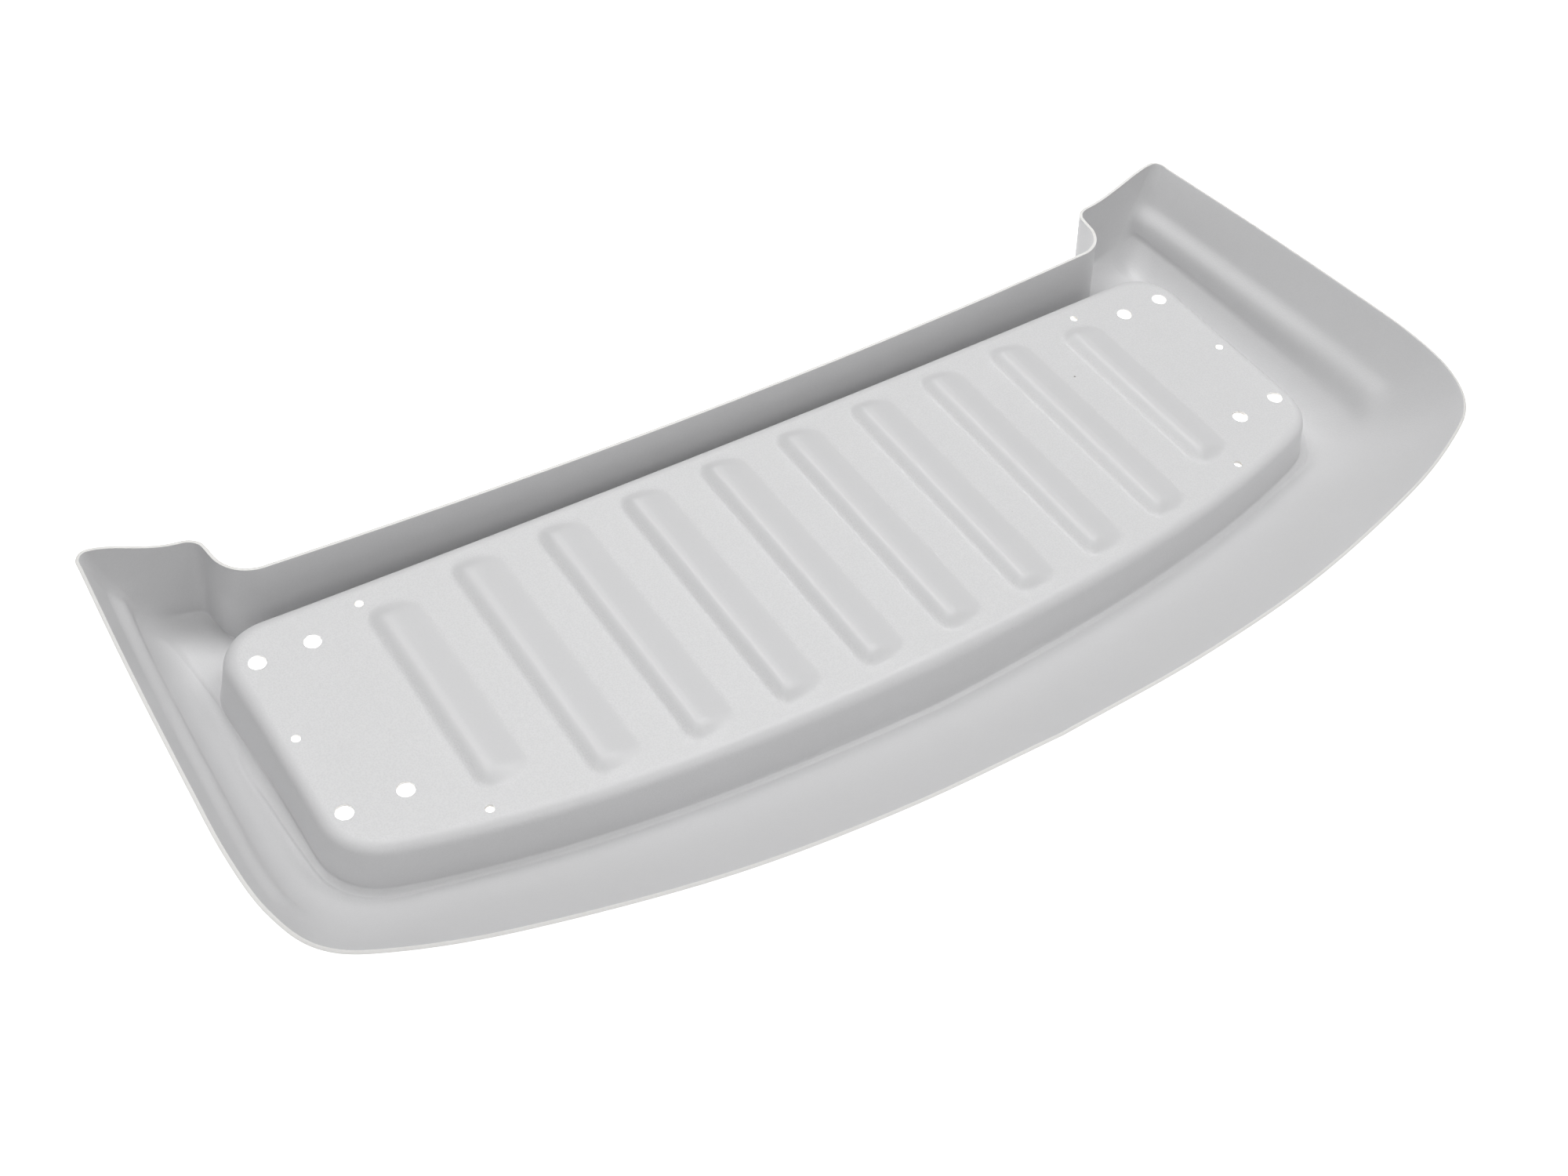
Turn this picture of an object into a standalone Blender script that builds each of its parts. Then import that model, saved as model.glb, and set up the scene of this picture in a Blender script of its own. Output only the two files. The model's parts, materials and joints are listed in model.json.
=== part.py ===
# Thermoformed deck tray: one formed plastic skin, with the board and battens that
# stiffen its raised deck bonded underneath. Metres, +Z up, +X along the width, front at -Y.
import math
import bpy
import bmesh
from mathutils import Vector, geometry

# Driving dimensions. Plan positions are measured from the tray's mid plane (x) and from the
# line through the outer rear holes (y). Heights are measured from the flat of the deck.
DATUM_Y = 0.1189          # hole line to the middle of the tray's depth
DATUM_Z = 0.0577          # lowest point of the tray to the flat of the deck
SHEET = 0.0025            # formed thickness of the sheet

# Raised deck: the edge of its flat, then the shoulder and the drafted wall down to the floor
DECK_HALF = 0.4110
DECK_REAR = 0.0220
DECK_REAR_BOW = 0.0052
DECK_FRONT = -0.2160
DECK_CORNER_REAR = 0.0260
DECK_CORNER_FRONT = 0.0340
SHOULDER_R = 0.0115
WALL_LEAN = 0.0085        # how far the front wall runs out between the shoulder and the floor
REAR_WALL_LEAN = 0.0030
FLOOR_Z = -0.0388
REAR_FLOOR_Z = -0.0540

# Raised ridges across the deck
RIDGES = 10
RIDGE_PITCH = 0.0683
RIDGE_HALF = 0.0138
RIDGE_CREST_HALF = 0.0062
RIDGE_HEIGHT = 0.0045
RIDGE_REAR = 0.0165
RIDGE_FRONT_MARGIN = 0.0090

# Holes: half span and distance behind the hole line, for one side of the tray
BIG_HOLE_R = 0.0062
SMALL_HOLE_R = 0.0032
BIG_HOLES = ((0.4000, 0.0000), (0.3610, -0.0010), (0.4027, -0.1390), (0.3619, -0.1422))
SMALL_HOLES = ((0.3196, 0.0149), (0.4044, -0.0707), (0.3232, -0.1820))

# Rim of the tray, on the outside of the sheet
REAR_RIM_Y = 0.0641       # rear wall where it meets the step out to the ears
REAR_BOW = 0.0119
REAR_HALF = 0.3638
REAR_RIM_Z = 0.0174
STEP_R_IN = 0.0273
STEP_R_OUT = 0.0129
STEP_RUN = 0.0111
STEP_TURN = math.radians(83.0)
EAR_CORNER = (0.4791, 0.1080)
EAR_CORNER_R = 0.0082
EAR_CORNER_Z = 0.0463
EAR_RISE_POWER = 2.4
SIDE_RIM = ((0.4791, 0.0936, 0.0462), (0.4848, -0.0080, 0.0532), (0.4888, -0.1136, 0.0600),
            (0.4900, -0.1778, 0.0636))
CORNER_RIM = ((0.4852, -0.2250, 0.0640), (0.4696, -0.2588, 0.0612), (0.4352, -0.2800, 0.0590),
              (0.3632, -0.3056, 0.0588))
FRONT_RIM = ((0.2408, -0.3320, 0.0556), (0.1212, -0.3448, 0.0540), (0.0, -0.3488, 0.0536))

# Stiffening bead pressed into each end wall
BEAD_HEIGHT = 0.0050
BEAD_Y = (0.1070, -0.2120)
BEAD_AT = 0.47            # share of the end wall's height

# Board and battens bonded under the deck
JOINT_GAP = 0.0003
BOARD_HALF = 0.3000
BOARD_T = 0.0090
BOARD_REAR = 0.0160
BOARD_SETBACK = 0.0120
BATTEN = (0.5600, 0.0400, 0.0180)
BATTEN_Y = (-0.0240, -0.1360)

# Stations along half of the rim, from the middle of the rear to the middle of the front
STATIONS = (8, 5, 1, 4, 4, 3, 6, 16, 9)
SHOULDER_STEPS = 3
WALL_STEPS = (0.0, 0.10, 0.22, 0.34, 0.41, 0.47, 0.53, 0.60, 0.78, 1.0)


def clear_scene():
    for obj in list(bpy.data.objects):
        bpy.data.objects.remove(obj, do_unlink=True)


def smooth(t):
    t = min(max(t, 0.0), 1.0)
    return t * t * (3.0 - 2.0 * t)


def mix(a, b, t):
    return a + (b - a) * t


def material(name, colour, roughness, metallic=0.0):
    mat = bpy.data.materials.new(name)
    mat.use_nodes = True
    shader = mat.node_tree.nodes["Principled BSDF"]
    shader.inputs["Base Color"].default_value = (*colour, 1.0)
    shader.inputs["Roughness"].default_value = roughness
    shader.inputs["Metallic"].default_value = metallic
    return mat


def spline_point(points, at):
    # Catmull-Rom curve through the points; `at` counts spans from the first point
    ends = [points[0] * 2 - points[1], *points, points[-1] * 2 - points[-2]]
    i = min(int(at), len(points) - 2)
    t = at - i
    a, b, c, d = ends[i:i + 4]
    return 0.5 * (2 * b + (c - a) * t + (2 * a - 5 * b + 4 * c - d) * t * t
                  + (3 * b - a - 3 * c + d) * t ** 3)


def along(line, start, end, steps):
    # Even points by length between two fractions of a polyline, the last one left out
    lengths = [0.0]
    for a, b in zip(line, line[1:]):
        lengths.append(lengths[-1] + (b - a).length)
    out = []
    for k in range(steps):
        want = mix(start, end, k / steps) * lengths[-1]
        i = max(j for j in range(len(line) - 1) if lengths[j] <= want + 1e-12)
        out.append(line[i].lerp(line[i + 1], (want - lengths[i]) / (lengths[i + 1] - lengths[i])))
    return out


def normals_of(line):
    # Plan normals pointing away from the deck; the ends lie on the mirror plane
    out = []
    for i in range(len(line)):
        ahead = line[min(i + 1, len(line) - 1)] - line[max(i - 1, 0)]
        out.append(Vector((-ahead.y, ahead.x)).normalized())
    out[0] = Vector((0.0, 1.0))
    out[-1] = Vector((0.0, -1.0))
    return out


def fillet(before, corner, after, radius, steps):
    a = (before - corner).normalized()
    b = (after - corner).normalized()
    half = a.angle(b) / 2
    centre = corner + (a + b).normalized() * (radius / math.sin(half))
    start = corner + a * (radius / math.tan(half)) - centre
    end = corner + b * (radius / math.tan(half)) - centre
    sweep = start.angle(end)
    return [centre + (start * math.sin(sweep * (1 - k / steps)) + end * math.sin(sweep * k / steps))
            / math.sin(sweep) for k in range(steps + 1)]


def deck_rear_y(x):
    return DECK_REAR + DECK_REAR_BOW * (x / DECK_HALF) ** 2


def deck_front_y(x):
    u = x / 0.4
    return DECK_FRONT + 0.0288 * u ** 2 + 0.0192 * u ** 4


def deck_edge():
    rear = [Vector((x, deck_rear_y(x))) for x in (0.0, 0.12, 0.24, 0.33)]
    front = [Vector((x, deck_front_y(x))) for x in [0.36 - 0.03 * k for k in range(13)]]
    rear_corner = Vector((DECK_HALF, deck_rear_y(DECK_HALF)))
    front_corner = Vector((DECK_HALF + 0.001, deck_front_y(DECK_HALF)))
    turn_rear = fillet(rear[-1], rear_corner, front_corner, DECK_CORNER_REAR, 12)
    turn_front = fillet(rear_corner, front_corner, front[0], DECK_CORNER_FRONT, 12)
    return [*rear, *turn_rear, *turn_front, *front]


def deck_stations():
    # Shares of the deck edge's length that answer the joints between the rim's pieces
    shares = (0.0, 0.345, 0.385, 0.389, 0.404, 0.418, 0.428, 0.530, 0.650, 1.0)
    line = deck_edge()
    out = []
    for steps, a, b in zip(STATIONS, shares, shares[1:]):
        out += along(line, a, b, steps)
    return out + [line[-1]]


def rim_stations():
    rear_n, in_n, run_n, out_n, ear_n, corner_n, side_n, turn_n, front_n = STATIONS
    line = []
    for k in range(rear_n):
        x = REAR_HALF * k / rear_n
        line.append(Vector((x, REAR_RIM_Y - REAR_BOW * (1 - (x / REAR_HALF) ** 2), 0)))
    for k in range(in_n):
        a = STEP_TURN * k / in_n
        line.append(Vector((REAR_HALF + STEP_R_IN * math.sin(a),
                            REAR_RIM_Y + STEP_R_IN * (1 - math.cos(a)), 0)))
    run_start = Vector((REAR_HALF + STEP_R_IN * math.sin(STEP_TURN),
                        REAR_RIM_Y + STEP_R_IN * (1 - math.cos(STEP_TURN)), 0))
    run_way = Vector((math.cos(STEP_TURN), math.sin(STEP_TURN), 0))
    line.append(run_start)
    run_end = run_start + run_way * STEP_RUN
    centre = run_end + Vector((run_way.y, -run_way.x, 0)) * STEP_R_OUT
    for k in range(out_n):
        a = STEP_TURN * (1 - k / out_n)
        line.append(centre + Vector((-math.sin(a), math.cos(a), 0)) * STEP_R_OUT)
    ear_start = centre + Vector((0, STEP_R_OUT, 0))
    ear_end = Vector((EAR_CORNER[0] - EAR_CORNER_R, EAR_CORNER[1], 0))
    for k in range(ear_n):
        line.append(ear_start.lerp(ear_end, k / ear_n))
    for k in range(corner_n):
        a = math.pi / 2 * k / corner_n
        line.append(ear_end + Vector((math.sin(a), math.cos(a) - 1, 0)) * EAR_CORNER_R)
    rise_from = REAR_HALF
    rise_to = EAR_CORNER[0] - EAR_CORNER_R / 2
    for i, point in enumerate(line):
        share = smooth((point.x - rise_from) / (rise_to - rise_from)) ** EAR_RISE_POWER
        point.z = mix(REAR_RIM_Z, EAR_CORNER_Z, share)
    sweep = [Vector(p) for p in (*SIDE_RIM, *CORNER_RIM, *FRONT_RIM)]
    first = 0
    for steps, spans in ((side_n, 3), (turn_n, 4), (front_n, 3)):
        line += [spline_point(sweep, first + spans * k / steps) for k in range(steps)]
        first += spans
    return line + [sweep[-1]]


def station_value(stops):
    # One value per station, smooth between the joints of the rim's pieces
    out = []
    for steps, a, b in zip(STATIONS, stops, stops[1:]):
        out += [mix(a, b, smooth(k / steps)) for k in range(steps)]
    return out + [stops[-1]]


def wall_profile(foot, rim, lean_in, bead):
    # Outer wall from its foot to the rim: concave by `lean_in`, with the bead at mid height
    out = []
    way = Vector((rim.x - foot.x, rim.y - foot.y))
    inward = Vector((-way.x, -way.y, 0)).normalized()
    knee = foot.lerp(rim, 0.5)
    knee += Vector((way.x, way.y, 0)) * lean_in[0] - Vector((0, 0, rim.z - foot.z)) * lean_in[1]
    for t in WALL_STEPS:
        point = foot * (1 - t) ** 2 + knee * (2 * t * (1 - t)) + rim * t ** 2
        swell = max(0.0, 1 - abs(t - BEAD_AT) / 0.13)
        out.append(point + (inward + Vector((0, 0, 0.5))) * (bead * smooth(swell)))
    return out


def skin_rings():
    deck = deck_stations()
    deck_out = normals_of(deck)
    rim_outer = rim_stations()
    rim_out = normals_of([Vector((p.x, p.y)) for p in rim_outer])
    floor_z = station_value((REAR_FLOOR_Z, REAR_FLOOR_Z, REAR_FLOOR_Z, REAR_FLOOR_Z, REAR_FLOOR_Z,
                             -0.046, -0.044, FLOOR_Z, FLOOR_Z, FLOOR_Z))
    foot_z = station_value((REAR_FLOOR_Z, REAR_FLOOR_Z, -0.055, -0.055, -0.054,
                            -0.041, -0.040, FLOOR_Z, FLOOR_Z, FLOOR_Z))
    shift_x = station_value((0.0, 0.004, 0.005, 0.005, 0.005, -0.034, -0.037, -0.040, 0, 0))
    shift_y = station_value((-0.006, -0.006, -0.005, -0.005, -0.004, -0.004, -0.004, 0, 0, 0))
    hug = station_value((0, 0, 0, 0, 0, 0, 0, 1, 1, 1))
    gutter = station_value((0, 0, 0, 0, 0, 0, 0.25, 0.22, 0.03, 0.03))
    sag_out = station_value((0.1, 0.1, 0.1, 0.1, 0.1, 0.1, 0.1, 0.12, 0.06, 0.08))
    sag_down = station_value((0.1, 0.1, 0.1, 0.1, 0.1, 0.1, 0.15, 0.18, 0.12, 0.14))
    wall_lean = station_value((REAR_WALL_LEAN, REAR_WALL_LEAN, REAR_WALL_LEAN, REAR_WALL_LEAN, 0.004,
                               0.005, 0.006, WALL_LEAN, WALL_LEAN, WALL_LEAN))
    columns = []
    for i, edge in enumerate(deck):
        out = deck_out[i]
        column = [Vector((edge.x, edge.y, 0))]
        lean = math.atan2(wall_lean[i], -floor_z[i] - SHOULDER_R)
        for k in range(1, SHOULDER_STEPS + 1):
            a = (math.pi / 2 - lean) * k / SHOULDER_STEPS
            plan = edge + out * (SHOULDER_R * math.sin(a))
            column.append(Vector((plan.x, plan.y, -SHOULDER_R * (1 - math.cos(a)))))
        toe = edge + out * (SHOULDER_R + wall_lean[i])
        column.append(Vector((*(toe - out * 0.0006), floor_z[i] + 0.0050)))
        column.append(Vector((*(toe + out * 0.0014), floor_z[i] + 0.0012)))
        rim = rim_outer[i] - Vector((*rim_out[i], 0)) * SHEET
        near = (toe + out * 0.0020).lerp(rim.to_2d(), gutter[i])
        far = Vector((rim.x + shift_x[i], rim.y + shift_y[i]))
        plan = far.lerp(near, hug[i])
        foot = Vector((plan.x, plan.y, mix(foot_z[i], floor_z[i], hug[i])))
        from_end = min(BEAD_Y[0] - rim.y, rim.y - BEAD_Y[1]) / 0.016
        bead = BEAD_HEIGHT * smooth(from_end) if rim.x > 0.42 else 0.0
        column += wall_profile(foot, rim, (sag_out[i], sag_down[i]), bead)
        columns.append(column)
    for column in (columns[0], columns[-1]):
        for point in column:
            point.x = 0.0
    return columns


def capsule(x, y_front, y_rear, half, z, steps=4):
    out = []
    for k in range(steps + 1):
        a = math.pi * k / steps
        out.append(Vector((x + half * math.cos(a), y_rear - half + half * math.sin(a), z)))
    for k in range(steps + 1):
        a = math.pi * (1 + k / steps)
        out.append(Vector((x + half * math.cos(a), y_front + half + half * math.sin(a), z)))
    return out


def ridge_loops():
    loops = []
    for k in range(RIDGES // 2):
        x = (k + 0.5) * RIDGE_PITCH
        outermost = smooth((x - 0.24) / 0.06)
        front = deck_front_y(x) + RIDGE_FRONT_MARGIN + 0.017 * outermost
        rear = RIDGE_REAR - 0.011 * outermost
        inset = RIDGE_HALF - RIDGE_CREST_HALF
        loops.append(capsule(x, front, rear, RIDGE_HALF, 0.0))
        loops.append(capsule(x, front + inset, rear - inset, RIDGE_CREST_HALF, RIDGE_HEIGHT))
    return loops


def skin_mesh():
    columns = skin_rings()
    bm = bmesh.new()
    grid = [[bm.verts.new(p) for p in column] for column in columns]
    for left, right in zip(grid, grid[1:]):
        for k in range(len(left) - 1):
            bm.faces.new((left[k], left[k + 1], right[k + 1], right[k]))
    # The flat of the deck, filled between its edge and the ridges
    edge = [column[0] for column in columns]
    points = list(edge)
    loops = [list(range(len(edge)))]
    for loop in ridge_loops():
        loops.append(list(range(len(points), len(points) + len(loop))))
        points += loop
    sides = [(a, b) for loop in loops for a, b in zip(loop, loop[1:] + loop[:1])]
    flat = [p.to_2d() for p in points]
    made, _, faces, origin, _, _ = geometry.delaunay_2d_cdt(flat, sides, [loops[0]], 1, 1e-7)
    verts = []
    for k, place in enumerate(made):
        source = origin[k][0]
        verts.append(grid[source][0] if source < len(edge)
                     else bm.verts.new((place.x, place.y, points[source].z)))
    for face in faces:
        bm.faces.new([verts[k] for k in face])
    bmesh.ops.recalc_face_normals(bm, faces=bm.faces)
    if sum(f.normal.z * f.calc_area() for f in bm.faces) < 0:
        bmesh.ops.reverse_faces(bm, faces=bm.faces)
    mesh = bpy.data.meshes.new("tray_skin")
    bm.to_mesh(mesh)
    bm.free()
    return mesh


def hole_cutter(collection, parent):
    bm = bmesh.new()
    for holes, radius in ((BIG_HOLES, BIG_HOLE_R), (SMALL_HOLES, SMALL_HOLE_R)):
        for x, y in holes:
            for side in (-1, 1):
                made = bmesh.ops.create_cone(bm, cap_ends=True, segments=20, radius1=radius,
                                             radius2=radius, depth=0.02)
                bmesh.ops.translate(bm, verts=made["verts"], vec=(side * x, y, 0))
    mesh = bpy.data.meshes.new("hole_cutter")
    bm.to_mesh(mesh)
    bm.free()
    cutter = bpy.data.objects.new("hole_cutter", mesh)
    cutter.hide_render = True
    cutter.display_type = "WIRE"
    cutter.parent = parent
    collection.objects.link(cutter)
    return cutter


def tray_skin(collection, cutters, parent):
    skin = bpy.data.objects.new("tray_skin", skin_mesh())
    skin.parent = parent
    collection.objects.link(skin)
    skin.data.materials.append(material("abs_sheet", (0.64, 0.64, 0.66), 0.45))
    mirror = skin.modifiers.new("both_sides", "MIRROR")
    mirror.use_clip = True
    mirror.merge_threshold = 0.00005
    solid = skin.modifiers.new("sheet", "SOLIDIFY")
    solid.thickness = SHEET
    solid.offset = -1
    solid.use_even_offset = True
    cut = skin.modifiers.new("holes", "BOOLEAN")
    cut.operation = "DIFFERENCE"
    cut.solver = "EXACT"
    cut.object = hole_cutter(cutters, parent)
    return skin


def core_board(collection, parent):
    # Board under the ridged part of the deck, its front cut to the deck's curve
    top = -SHEET - JOINT_GAP
    curve = bpy.data.curves.new("core_board", "CURVE")
    curve.dimensions = "2D"
    curve.fill_mode = "BOTH"
    curve.extrude = BOARD_T / 2
    front = [(x, deck_front_y(x) + BOARD_SETBACK)
             for x in [BOARD_HALF * (k / 8 - 1) for k in range(17)]]
    outline = [(-BOARD_HALF, BOARD_REAR), *front, (BOARD_HALF, BOARD_REAR)]
    line = curve.splines.new("POLY")
    line.points.add(len(outline) - 1)
    for point, (x, y) in zip(line.points, outline):
        point.co = (x, y, 0, 1)
    line.use_cyclic_u = True
    board = bpy.data.objects.new("core_board", curve)
    board.location = (0, 0, top - BOARD_T / 2)
    board.parent = parent
    board.data.materials.append(material("board_ply", (0.42, 0.27, 0.15), 0.7))
    collection.objects.link(board)
    return board


def batten(name, y, collection, parent):
    length, width, height = BATTEN
    top = -SHEET - JOINT_GAP - BOARD_T - JOINT_GAP
    bm = bmesh.new()
    bmesh.ops.create_cube(bm, size=1.0)
    bmesh.ops.scale(bm, verts=bm.verts, vec=BATTEN)
    mesh = bpy.data.meshes.new(name)
    bm.to_mesh(mesh)
    bm.free()
    piece = bpy.data.objects.new(name, mesh)
    piece.location = (0, y, top - height / 2)
    piece.parent = parent
    piece.data.materials.append(material(name + "_ply", (0.40, 0.26, 0.15), 0.7))
    bevel = piece.modifiers.new("eased_edges", "BEVEL")
    bevel.width = 0.0015
    bevel.segments = 2
    collection.objects.link(piece)
    return piece


def build():
    clear_scene()
    part = bpy.data.collections.new("deck_tray")
    cutters = bpy.data.collections.new("cutters")
    bpy.context.scene.collection.children.link(part)
    bpy.context.scene.collection.children.link(cutters)
    datum = bpy.data.objects.new("deck_datum", None)
    datum.location = (0, DATUM_Y, DATUM_Z)
    part.objects.link(datum)
    tray_skin(part, cutters, datum)
    core_board(part, datum)
    batten("rear_batten", BATTEN_Y[0], part, datum)
    batten("front_batten", BATTEN_Y[1], part, datum)


build()
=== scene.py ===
import json
import math

import bpy
import bmesh
import numpy as np
from mathutils import Matrix, Vector, geometry


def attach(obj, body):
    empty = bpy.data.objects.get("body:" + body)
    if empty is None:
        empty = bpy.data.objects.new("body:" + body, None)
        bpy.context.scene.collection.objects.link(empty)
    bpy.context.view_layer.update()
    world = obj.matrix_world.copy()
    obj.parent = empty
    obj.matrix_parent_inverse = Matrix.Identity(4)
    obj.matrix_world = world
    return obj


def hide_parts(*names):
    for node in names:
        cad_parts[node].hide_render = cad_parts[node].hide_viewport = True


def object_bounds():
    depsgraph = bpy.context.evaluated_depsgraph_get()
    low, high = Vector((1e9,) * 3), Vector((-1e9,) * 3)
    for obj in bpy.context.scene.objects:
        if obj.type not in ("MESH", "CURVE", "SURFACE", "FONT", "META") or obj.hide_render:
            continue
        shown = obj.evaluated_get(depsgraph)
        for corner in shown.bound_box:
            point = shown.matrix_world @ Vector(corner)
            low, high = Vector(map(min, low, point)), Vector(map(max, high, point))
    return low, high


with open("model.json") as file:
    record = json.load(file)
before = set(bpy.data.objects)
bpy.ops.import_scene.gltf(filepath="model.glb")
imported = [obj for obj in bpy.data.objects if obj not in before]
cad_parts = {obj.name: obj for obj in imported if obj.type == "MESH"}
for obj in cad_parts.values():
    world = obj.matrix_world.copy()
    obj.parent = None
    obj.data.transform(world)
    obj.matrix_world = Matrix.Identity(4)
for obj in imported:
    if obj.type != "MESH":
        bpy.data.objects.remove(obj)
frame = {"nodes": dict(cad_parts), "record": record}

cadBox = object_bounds()
print("frame loaded:", [round(1000 * (b - a), 1) for a, b in zip(*cadBox)], "mm overall")


def smooth(t):
    t = np.clip(t, 0.0, 1.0)
    return t * t * (3.0 - 2.0 * t)


def mix(a, b, t):
    return a + (b - a) * t


def softRun(stops, values):
    # Cubic through the stops that never overshoots, so surfaces run on without a crease
    stops, values = np.asarray(stops, float), np.asarray(values, float)
    gap = np.diff(stops)
    rise = np.diff(values) / gap
    slope = np.zeros(len(stops))
    for i in range(1, len(stops) - 1):
        if rise[i - 1] * rise[i] > 0:
            a, b = 2 * gap[i] + gap[i - 1], gap[i] + 2 * gap[i - 1]
            slope[i] = (a + b) / (a / rise[i - 1] + b / rise[i])

    def at(x):
        x = np.clip(np.asarray(x, float), stops[0], stops[-1])
        i = np.clip(np.searchsorted(stops, x, side="right") - 1, 0, len(gap) - 1)
        t = (x - stops[i]) / gap[i]
        return ((1 + 2 * t) * (1 - t) ** 2 * values[i] + t * (1 - t) ** 2 * gap[i] * slope[i]
                + t * t * (3 - 2 * t) * values[i + 1] - t * t * (1 - t) * gap[i] * slope[i + 1])
    return at


class Line:
    # A polyline that answers for any distance along it
    def __init__(self, points):
        self.points = np.asarray(points, float)
        steps = np.linalg.norm(np.diff(self.points, axis=0), axis=1)
        self.marks = np.concatenate(([0.0], np.cumsum(steps)))
        self.length = self.marks[-1]

    def at(self, s):
        return np.array([np.interp(s, self.marks, column) for column in self.points.T]).T

    def outward(self, s, reach=0.0012):
        ahead = self.at(np.minimum(s + reach, self.length)) - self.at(np.maximum(s - reach, 0))
        out = np.stack([-ahead[:, 1], ahead[:, 0]], 1)
        out /= np.linalg.norm(out, axis=1)[:, None]
        out[0], out[-1] = (0, 1), (0, -1)
        return out


# The tray skin is one formed sheet: half of it is built, then copied over as a mirror image
tray = {
    "sheet": 0.0025,
    # raised deck
    "deckHalf": 0.4110, "deckRear": 0.0220, "deckRearBow": 0.0052, "deckFront": -0.2160,
    "cornerRear": 0.0260, "cornerFront": 0.0340, "shoulder": 0.0115,
    "floor": -0.0388, "toeFillet": 0.0020,
    # fold in the floor of each ear, with the deeper rear channel behind it
    "foldFrom": (0.4130, 0.0504), "foldTo": (0.4430, 0.0736), "foldHigh": 0.0014, "foldWide": 0.0110,
    "channelDrop": 0.0152, "earDrop": 0.0080, "channelRun": 0.0360,
    # faint second crease round the deck's front corners
    "creaseHigh": 0.0011, "creaseWide": 0.0024,
    # ridges
    "ridges": 10, "pitch": 0.0683, "ridgeHeight": 0.0070, "crest": -0.0030,
    "steepSide": 0.0118, "easySide": 0.0270, "frontEnd": 0.0125, "rearEnd": 0.0140,
    "ridgeRear": 0.0165, "ridgeFrontMargin": 0.0065, "faintest": 0.72,
    # the outermost ridges are shorter, by this much in front and behind
    "outerFrom": 0.24, "outerOver": 0.06, "outerFront": 0.017, "outerRear": 0.011,
    # holes for one side
    "bigHole": 0.0062, "smallHole": 0.0032,
    "bigHoles": ((0.4000, 0.0000), (0.3610, -0.0010), (0.4027, -0.1390), (0.3619, -0.1422)),
    "smallHoles": ((0.3196, 0.0149), (0.4044, -0.0707), (0.3232, -0.1820)),
    # rim
    "rearRim": 0.0641, "rearBow": 0.0119, "rearHalf": 0.3638, "rearRimZ": 0.0174,
    "stepIn": 0.0273, "stepOut": 0.0129, "stepRun": 0.0111, "stepTurn": math.radians(83),
    "earCorner": (0.4791, 0.1080), "earRadius": 0.0110, "earZ": 0.0463, "earRise": 2.4,
    "sweep": ((0.4791, 0.0936, 0.0462), (0.4848, -0.0080, 0.0532), (0.4888, -0.1136, 0.0600),
              (0.4900, -0.1778, 0.0636), (0.4852, -0.2250, 0.0640), (0.4696, -0.2588, 0.0612),
              (0.4352, -0.2800, 0.0590), (0.3632, -0.3056, 0.0588), (0.2408, -0.3320, 0.0556),
              (0.1212, -0.3448, 0.0540), (0.0, -0.3488, 0.0536)),
    # bead in the end walls
    "bead": 0.0042, "beadEnds": (0.1060, -0.1990), "beadAt": 0.52, "beadBelow": 0.22, "beadAbove": 0.17,
    # how many sections stand along each piece of half the rim
    "sections": (56, 22, 8, 20, 26, 20, 74, 84, 56),
    "deckPoints": 640, "deckEasing": 14, "gridAcross": 0.0017, "gridDeep": 0.0034,
    # share of the sheet's grain, and of the painted sparkle that lightens its pebble tops, left on the walls,
    # and taken off where the ridges stretched it
    "wallGrainAndSparkle": 0.35, "stretchLoss": 0.75,
    # cut edges
    "easedCut": 0.0004, "cutAngle": 62, "smoothAngle": 50,
}
boltCentre = next(m for m in frame["record"]["mounts"] if m["name"] == "corner_bolts")["pos_m"]
datum = np.array([0.0, boltCentre[1] + 0.0706, boltCentre[2]])   # on the line of the rear bolt holes


def deckFrontAt(x):
    u = x / 0.4
    return tray["deckFront"] + 0.0288 * u ** 2 + 0.0192 * u ** 4


def deckRearAt(x):
    return tray["deckRear"] + tray["deckRearBow"] * (x / tray["deckHalf"]) ** 2


def roundCorner(before, corner, after, radius, steps):
    before, corner, after = (np.asarray(p, float) for p in (before, corner, after))
    a = (before - corner) / np.linalg.norm(before - corner)
    b = (after - corner) / np.linalg.norm(after - corner)
    half = math.acos(float(a @ b)) / 2
    middle = (a + b) / np.linalg.norm(a + b)
    centre = corner + middle * radius / math.sin(half)
    start = corner + a * radius / math.tan(half) - centre
    end = corner + b * radius / math.tan(half) - centre
    sweep = math.pi - 2 * half
    return [centre + (start * math.sin(sweep * (1 - k / steps)) + end * math.sin(sweep * k / steps))
            / math.sin(sweep) for k in range(steps + 1)]


def deckLine():
    half = tray["deckHalf"]
    rear = [(x, deckRearAt(x)) for x in np.linspace(0, 0.372, 94)]
    front = [(x, deckFrontAt(x)) for x in np.linspace(0.366, 0, 120)]
    rearCorner = (half, deckRearAt(half))
    frontCorner = (half + 0.001, deckFrontAt(half))
    points = [*rear, *roundCorner(rear[-1], rearCorner, frontCorner, tray["cornerRear"], 24),
              *roundCorner(rearCorner, frontCorner, front[0], tray["cornerFront"], 24), *front]
    line = Line(points)
    even = line.at(np.linspace(0, line.length, tray["deckPoints"]))
    for _ in range(tray["deckEasing"]):   # takes the last hint of a kink out of the joints
        even[1:-1] = 0.25 * even[:-2] + 0.5 * even[1:-1] + 0.25 * even[2:]
    return Line(even)


def throughPoints(points, steps):
    points = [np.asarray(p, float) for p in points]
    ends = [2 * points[0] - points[1], *points, 2 * points[-1] - points[-2]]
    out = []
    for a, b, c, d in zip(ends, ends[1:], ends[2:], ends[3:]):
        for k in range(steps):
            t = k / steps
            out.append(0.5 * (2 * b + (c - a) * t + (2 * a - 5 * b + 4 * c - d) * t * t
                              + (3 * b - a - 3 * c + d) * t ** 3))
    return out + [points[-1]]


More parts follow.
